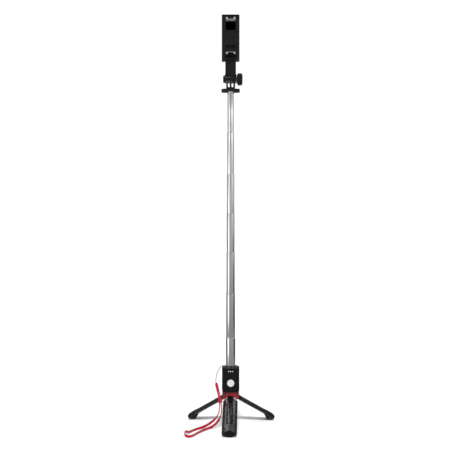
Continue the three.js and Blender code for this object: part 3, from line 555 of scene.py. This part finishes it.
def lathe(name, profile, sides, place, along=(0, 0, 1), closed=False):
    """A mesh of [radius, height] points in metres, turned about `along` through `place`.

    A closed profile goes back from its last point to its first.
    """
    work = bmesh.new()
    turn = Vector((0, 0, 1)).rotation_difference(Vector(along).normalized())
    rings = []
    for radius, height in profile:
        if radius == 0:
            rings.append([work.verts.new(Vector(place) + turn @ Vector((0, 0, height)))])
            continue
        ring = []
        for i in range(sides):
            a = i / sides * TAU
            point = Vector((radius * math.cos(a), radius * math.sin(a), height))
            ring.append(work.verts.new(Vector(place) + turn @ point))
        rings.append(ring)
    pairs = list(zip(rings, rings[1:])) + ([(rings[-1], rings[0])] if closed else [])
    for low, high in pairs:
        for i in range(sides):
            j = (i + 1) % sides
            corners = [low[i % len(low)], low[j % len(low)], high[j % len(high)], high[i % len(high)]]
            work.faces.new(list(dict.fromkeys(corners)))
    bmesh.ops.recalc_face_normals(work, faces=work.faces)
    return mesh_of(work, name)


def rounded_profile(points, radius, steps=3):
    """A closed [radius, height] outline with its corners rounded off."""
    outline = []
    for i, corner in enumerate(points):
        here = Vector(corner)
        before = Vector(points[i - 1]) - here
        after = Vector(points[(i + 1) % len(points)]) - here
        cut = min(radius, before.length * 0.45, after.length * 0.45)
        start, end = here + before.normalized() * cut, here + after.normalized() * cut
        for k in range(steps + 1):
            t = k / steps
            outline.append(tuple(start.lerp(here, t).lerp(here.lerp(end, t), t)))
    return outline


# ---------------------------------------------------------------- cords

# The strap's routes, in millimetres from the foot of the pole's axis.
STRING_ROUTE = [
    (-11.2, -5.5, 97.4), (-11.2, -5.5, 99.4), (-11.6, -5.9, 101.0), (-13.0, -7.0, 101.6),
    (-15.2, -8.7, 101.0), (-17.8, -10.6, 98.6), (-20.6, -12.4, 94.8), (-22.6, -13.6, 90.4),
    (-24.0, -14.4, 85.0), (-24.6, -14.8, 80.0), (-24.5, -14.9, 75.2),
]
DOUBLE_ROUTE = [(-20.8, -15.6, 59.8), (-20.1, -15.8, 56.6), (-19.2, -16.0, 53.4), (-18.4, -16.1, 50.7)]
LOOP_ROUTE = [
    (-18.7, -16.4, 41.0), (-18.5, -16.6, 34.9), (-19.6, -17.0, 26.7), (-22.9, -18.0, 19.1),
    (-27.6, -19.5, 13.6), (-34.2, -21.5, 8.7), (-41.1, -24.0, 5.2), (-48.1, -27.4, 3.1),
    (-56.1, -34.2, 2.3), (-62.7, -44.4, 2.3), (-66.8, -53.0, 2.6), (-69.8, -59.2, 4.4),
    (-72.0, -64.0, 6.0), (-73.6, -68.4, 5.9), (-73.2, -73.6, 4.2), (-70.2, -77.8, 2.6),
    (-65.3, -78.8, 2.3), (-60.2, -73.0, 2.3), (-54.0, -59.6, 2.3), (-46.4, -44.4, 2.3),
    (-37.4, -31.0, 2.5), (-29.3, -24.0, 4.7), (-22.2, -20.0, 10.1), (-17.6, -18.0, 17.4),
    (-15.5, -17.2, 25.6), (-15.3, -16.8, 33.8), (-16.2, -16.4, 41.0),
]
FERRULE_ENDS = [(-24.4, -14.9, 74.6), (-20.9, -15.6, 60.2)]
SLIDER_ENDS = [(-18.3, -16.1, 50.3), (-17.2, -16.3, 41.5)]
# Steps between the rings of a swept cord, and the points tried on each span of a route to space them.
STRING_STEP = 0.22 * MM
STRAP_STEP = 0.45 * MM
SPAN_POINTS = 40

PLY_RADIUS = 0.44 * MM
PLY_OFFSET = 0.16 * MM
PLY_PITCH = 2.6 * MM
STRAND_WIDTH = 2.2 * MM
STRAND_THICKNESS = 2.6 * MM
STRAND_OFFSET = 1.15 * MM
LOOP_WIDTH = 4.2 * MM
LOOP_THICKNESS = 1.7 * MM
# The ribbon's width points towards -Y above the first height and upwards below the second.
LOOP_TURN = (30 * MM, 6 * MM)
# The braid in relief: waves to a turn, length for a radian of phase, and height as a share of the radius.
BRAID_WAVES = 5
BRAID_PITCH = 1.4 * MM
BRAID_RELIEF = 0.05

SLIDER_HALF_WIDTH = 3.3 * MM
SLIDER_HALF_THICKNESS = 2.1 * MM


def path_length(path):
    """The length of a line through points."""
    return sum((b - a).length for a, b in zip(path, path[1:]))


def scene_points(points):
    """Points in millimetres from the foot of the pole's axis, as places in metres."""
    return [AXIS + Vector(point) * MM for point in points]


def curve_point(p0, p1, p2, p3, t):
    """A point on a centripetal Catmull-Rom span from p1 to p2."""
    d0, d1, d2 = (math.sqrt((b - a).length) for a, b in ((p0, p1), (p1, p2), (p2, p3)))
    m1 = ((p1 - p0) / d0 - (p2 - p0) / (d0 + d1) + (p2 - p1) / d1) * d1
    m2 = ((p2 - p1) / d1 - (p3 - p1) / (d1 + d2) + (p3 - p2) / d2) * d1
    return (
        p1
        + m1 * t
        + (3 * (p2 - p1) - 2 * m1 - m2) * t ** 2
        + (2 * (p1 - p2) + m1 + m2) * t ** 3
    )


def smooth_path(route, step):
    """Evenly spaced points, in metres, on a smooth curve through a route."""
    points = scene_points(route)
    points = [2 * points[0] - points[1], *points, 2 * points[-1] - points[-2]]
    dense = []
    for i in range(1, len(points) - 2):
        for k in range(SPAN_POINTS):
            dense.append(curve_point(*points[i - 1:i + 3], k / SPAN_POINTS))
    dense.append(points[-2])
    total = path_length(dense)
    count = max(2, round(total / step))
    even = [dense[0]]
    walked = 0.0
    i = 0
    for k in range(1, count):
        target = total * k / count
        while walked + (dense[i + 1] - dense[i]).length < target:
            walked += (dense[i + 1] - dense[i]).length
            i += 1
        gap = (dense[i + 1] - dense[i]).length
        even.append(dense[i].lerp(dense[i + 1], (target - walked) / gap))
    even.append(dense[-1])
    return even


def path_frames(path, side):
    """For each point of a path, its (side, up) directions.

    `side` is the first side direction, carried along without twist, or a rule that gives one.
    """
    frames = []
    across = None if callable(side) else Vector(side)
    for i, point in enumerate(path):
        tangent = (path[min(i + 1, len(path) - 1)] - path[max(i - 1, 0)]).normalized()
        if callable(side):
            across = side(point)
        across = (across - tangent * across.dot(tangent)).normalized()
        frames.append((across.copy(), tangent.cross(across)))
    return frames


def ribbon_side(point):
    """The direction of the wrist loop's width at a point."""
    high, low = LOOP_TURN
    down = min(1.0, max(0.0, (high - point.z) / (high - low)))
    down = down * down * (3 - 2 * down)
    return Vector((0, -1, 0)).lerp(Vector((0, 0, 1)), down)


def sweep(work, path, side, section, sides=12):
    """Adds a closed tube to a bmesh. `section(distance, angle)` gives its offsets across and up."""
    uv = work.loops.layers.uv.verify()
    rings = []
    walked = [0.0]
    for a, b in zip(path, path[1:]):
        walked.append(walked[-1] + (b - a).length)
    for point, (across, up), s in zip(path, path_frames(path, side), walked):
        ring = []
        for k in range(sides):
            x, y = section(s, k / sides * TAU)
            ring.append(work.verts.new(point + across * x + up * y))
        rings.append(ring)
    for i in range(len(rings) - 1):
        for k in range(sides):
            j = (k + 1) % sides
            face = work.faces.new([rings[i][k], rings[i][j], rings[i + 1][j], rings[i + 1][k]])
            places = [(k, i), (k + 1, i), (k + 1, i + 1), (k, i + 1)]
            for loop, (column, row) in zip(face.loops, places):
                loop[uv].uv = (column / sides, walked[row])
    work.faces.new(list(reversed(rings[0])))
    work.faces.new(rings[-1])


def finish_mesh(work, name):
    """A smooth mesh made from a bmesh, with its faces turned outwards."""
    bmesh.ops.recalc_face_normals(work, faces=work.faces)
    mesh = mesh_of(work, name)
    mesh.shade_smooth()
    return mesh


def squared(angle, power, across, up):
    """A point on an oval: `power` 1 gives an ellipse, and a smaller one squarer corners."""
    x, y = math.cos(angle), math.sin(angle)
    return math.copysign(abs(x) ** power, x) * across, math.copysign(abs(y) ** power, y) * up


def add_string():
    """The thin hanging string: two plies twisted round each other."""
    path = smooth_path(STRING_ROUTE, STRING_STEP)
    frames = path_frames(path, (0, 1, 0))
    work = bmesh.new()
    for phase in (0, math.pi):
        twisted = []
        for i, (point, (side, up)) in enumerate(zip(path, frames)):
            turn = phase + i * STRING_STEP / PLY_PITCH * TAU
            twisted.append(point + (side * math.cos(turn) + up * math.sin(turn)) * PLY_OFFSET)
        sweep(work, twisted, (0, 1, 0), lambda s, a: squared(a, 1, PLY_RADIUS, PLY_RADIUS), 8)
    string = show("string", finish_mesh(work, "string"), "handle", "strap_string")
    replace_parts(string, "strap_string")
    return string, path


def strap_section(width, depth):
    """A flat woven cord's section with a braid in relief."""

    def section(s, a):
        around, along = BRAID_WAVES * a, s / BRAID_PITCH
        relief = 1 + BRAID_RELIEF * math.sin(around + along) * math.sin(around - along)
        x, y = squared(a, 0.8, width / 2, depth / 2)
        return x * relief, y * relief

    return section


def add_strap_pieces():
    """The string, ferrule, doubled strand, slider and wrist loop."""
    string, string_path = add_string()
    ferrule = add_ferrule()
    strand = add_double_strand()
    slider = add_slider()
    path = smooth_path(LOOP_ROUTE, STRAP_STEP)
    work = bmesh.new()
    sweep(work, path, ribbon_side, strap_section(LOOP_WIDTH, LOOP_THICKNESS), 24)
    loop = show("wrist_loop", finish_mesh(work, "wrist_loop"), "handle", "strap_fabric")
    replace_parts(loop, "strap_loop")


def add_ferrule():
    """The moulded ferrule: a tapered nose, then a barrel with grip rings."""
    first, last = scene_points(FERRULE_ENDS)
    long = (last - first).length / MM
    rings, barrel, groove = 7, 2.32, 2.08
    nose, tail = 2.4, 1.6
    pitch = (long - nose - tail) / rings
    profile = [(0, 0), (1.0, 0.0), (1.4, 0.3), (2.25, 2.1)]
    for i in range(rings):
        start = nose + i * pitch
        for fraction, radius in ((0.0, barrel), (0.62, barrel), (0.72, groove), (0.92, groove)):
            profile.append((radius, start + fraction * pitch))
    profile += [(barrel, long - 1.4), (2.2, long - 0.5), (1.9, long), (0, long)]
    mesh = lathe("ferrule", in_metres(profile), 32, first, last - first)
    smooth(mesh, TURNED_ANGLE)
    ferrule = show("ferrule", mesh, "handle", "strap_fittings")
    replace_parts(ferrule, "strap_ferrule")
    return ferrule


def add_double_strand():
    """The two strands side by side between the ferrule and the slider."""
    path = smooth_path(DOUBLE_ROUTE, STRAP_STEP)
    frames = path_frames(path, (1, 0, 0))
    work = bmesh.new()
    for shift in (-STRAND_OFFSET, STRAND_OFFSET):
        shifted = [point + side * shift for point, (side, _) in zip(path, frames)]
        sweep(work, shifted, (1, 0, 0), strap_section(STRAND_WIDTH, STRAND_THICKNESS), 14)
    strand = show("double_strand", finish_mesh(work, "double_strand"), "handle", "strap_fabric")
    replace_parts(strand, "strap_double_strand")
    return strand


def add_slider():
    """The slider: a soft-cornered block, waisted in the middle, that closes the wrist loop."""
    first, last = scene_points(SLIDER_ENDS)
    steps = 36
    path = [first.lerp(last, i / steps) for i in range(steps + 1)]
    long = (last - first).length

    def section(s, a):
        t = s / long
        ends = min(1.0, min(t, 1 - t) / 0.12) if 0 < t < 1 else 0.0
        swell = 0.86 + 0.14 * math.sqrt(max(0.0, 1 - (1 - ends) ** 2))
        waist = 1 - 0.07 * math.exp(-((t - 0.5) / 0.13) ** 2)
        x, y = squared(a, 0.45, SLIDER_HALF_WIDTH, SLIDER_HALF_THICKNESS)
        return x * swell * waist, y * swell * waist

    work = bmesh.new()
    sweep(work, path, (1, 0, 0), section, 40)
    mesh = finish_mesh(work, "slider")
    smooth(mesh, TURNED_ANGLE)
    slider = show("slider", mesh, "handle", "strap_fittings")
    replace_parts(slider, "strap_slider")
    return slider


# ---------------------------------------------------------------- pole

TUBE_WALL = 0.22 * MM
TUBE_RIM = 0.09 * MM
TUBE_SIDES = 72
# The mouth's play on the next section, the height of the narrow part, and the slope above the shoulder.
MOUTH_PLAY = 0.05 * MM
MOUTH_HEIGHT = 1.4 * MM
MOUTH_SLOPE = 0.5 * MM


def add_pole_section(number):
    """A thin tube with a rolled-in mouth, round at its rims."""
    node = f"pole_section_{number}"
    low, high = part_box(node)
    outside = (high.x - low.x) / 2
    inside = outside - TUBE_WALL
    bottom, top = low.z, high.z
    if number == 1:
        points = [(inside, bottom), (outside, bottom), (outside, top), (inside, top)]
    else:
        inner_low, inner_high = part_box(f"pole_section_{number - 1}")
        mouth = (inner_high.x - inner_low.x) / 2 + MOUTH_PLAY
        lip = mouth + TUBE_WALL
        shoulder = top - MOUTH_HEIGHT
        neck = shoulder + MOUTH_SLOPE
        points = [
            (inside, bottom), (outside, bottom), (outside, shoulder), (lip, neck), (lip, top),
            (mouth, top), (mouth, neck), (inside, shoulder),
        ]
    mesh = lathe(node, rounded_profile(points, TUBE_RIM), TUBE_SIDES, AXIS, closed=True)
    smooth(mesh, TUBE_ANGLE)
    body = NODES[node]["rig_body"]
    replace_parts(show(f"tube_{number}", mesh, body, "pole_steel", section_steel(number)), node)


# ---------------------------------------------------------------- remote

# The profiles of the button and the dots are in millimetres.
BUTTON_RADIUS = 6.0
DOT_RADIUS = 0.75
# How far the dots stand proud of the cover and sink into it.
DOT_PROUD = 0.06
DOT_SUNK = 0.04
# The dots' distance apart and their height above the floor, in metres.
DOT_PITCH = 3.2 * MM
DOT_HEIGHT = 93.6 * MM


def add_button():
    """The dished white button with a rounded rim and a flange behind the cover."""
    low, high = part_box("shutter_button")
    centre = (low + high) / 2
    flange = (high.x - low.x) / 2 / MM
    depth = (high.y - low.y) / MM
    flange_top = depth - 0.4
    profile = [
        (0, 0.30), (3.0, 0.26), (4.2, 0.12), (5.1, 0.0), (5.6, 0.12), (5.9, 0.42), (BUTTON_RADIUS, 0.8),
        (BUTTON_RADIUS, flange_top), (flange, flange_top), (flange, depth), (0, depth),
    ]
    mesh = lathe("button", in_metres(profile), 64, (centre.x, low.y, centre.z), (0, 1, 0))
    smooth(mesh, TURNED_ANGLE)
    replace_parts(show("button", mesh, "button", "button_plastic"), "shutter_button")


def add_remote_mark():
    """A plain row of three raised dots above the button."""
    low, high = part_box("remote_front_cover")
    middle = (low.x + high.x) / 2
    top = DOT_RADIUS - DOT_PROUD
    profile = [(0, -DOT_PROUD), (top, -DOT_PROUD), (DOT_RADIUS, 0), (DOT_RADIUS, DOT_SUNK), (0, DOT_SUNK)]
    work = bmesh.new()
    for i in (-1, 0, 1):
        place = (middle + i * DOT_PITCH, low.y, DOT_HEIGHT)
        dot = lathe("dot", in_metres(profile), 24, place, (0, 1, 0))
        work.from_mesh(dot)
        bpy.data.meshes.remove(dot)
    mesh = finish_mesh(work, "remote_mark")
    smooth(mesh, TURNED_ANGLE)
    show("remote_mark", mesh, "remote", "button_plastic", look_of("mark_print"))


# ---------------------------------------------------------------- assembly

# The width in millimetres of the rounding on each CAD node's edges.
REFINED = {
    "three_prong_base": 0.35, "clamp_neck": 0.45, "thumb_knob": 0.4,
    "clamp_body": 0.5, "clamp_back_cover": 0.3, "clamp_carriage": 0.5,
    "upper_jaw": 0.3, "lower_jaw": 0.3, "upper_jaw_pad": 0.2, "lower_jaw_pad": 0.2,
    "front_shell": 0.4, "rear_shell": 0.4, "top_cap": 0.5,
    "remote_front_cover": 0.5, "remote_rear_cover": 0.3,
    "leg_collar": 0.35,
    "front_leg": 0.5, "right_leg": 0.5, "left_leg": 0.5,
}
# Voxel size in millimetres and rounds of smoothing for the nodes with worn edges.
SOFTENED = {
    "lock_wheel": (0.25, 24),
    "front_leg_shoe": (0.35, 16), "right_leg_shoe": (0.35, 16), "left_leg_shoe": (0.35, 16),
}

add_camera()
add_strap_pieces()
add_floor()
add_light()

for number in range(1, 8):
    add_pole_section(number)
for node, width in REFINED.items():
    add_refined(node, width * MM)
for node, (cell, rounds) in SOFTENED.items():
    add_softened(node, cell * MM, rounds)
add_button()
add_remote_mark()

for node, piece in NODES.items():
    if not piece.hide_render:
        piece.material_slots[0].material = look_of(SLOT_OF[node])
        smooth(piece.data, PLAIN_ANGLE)
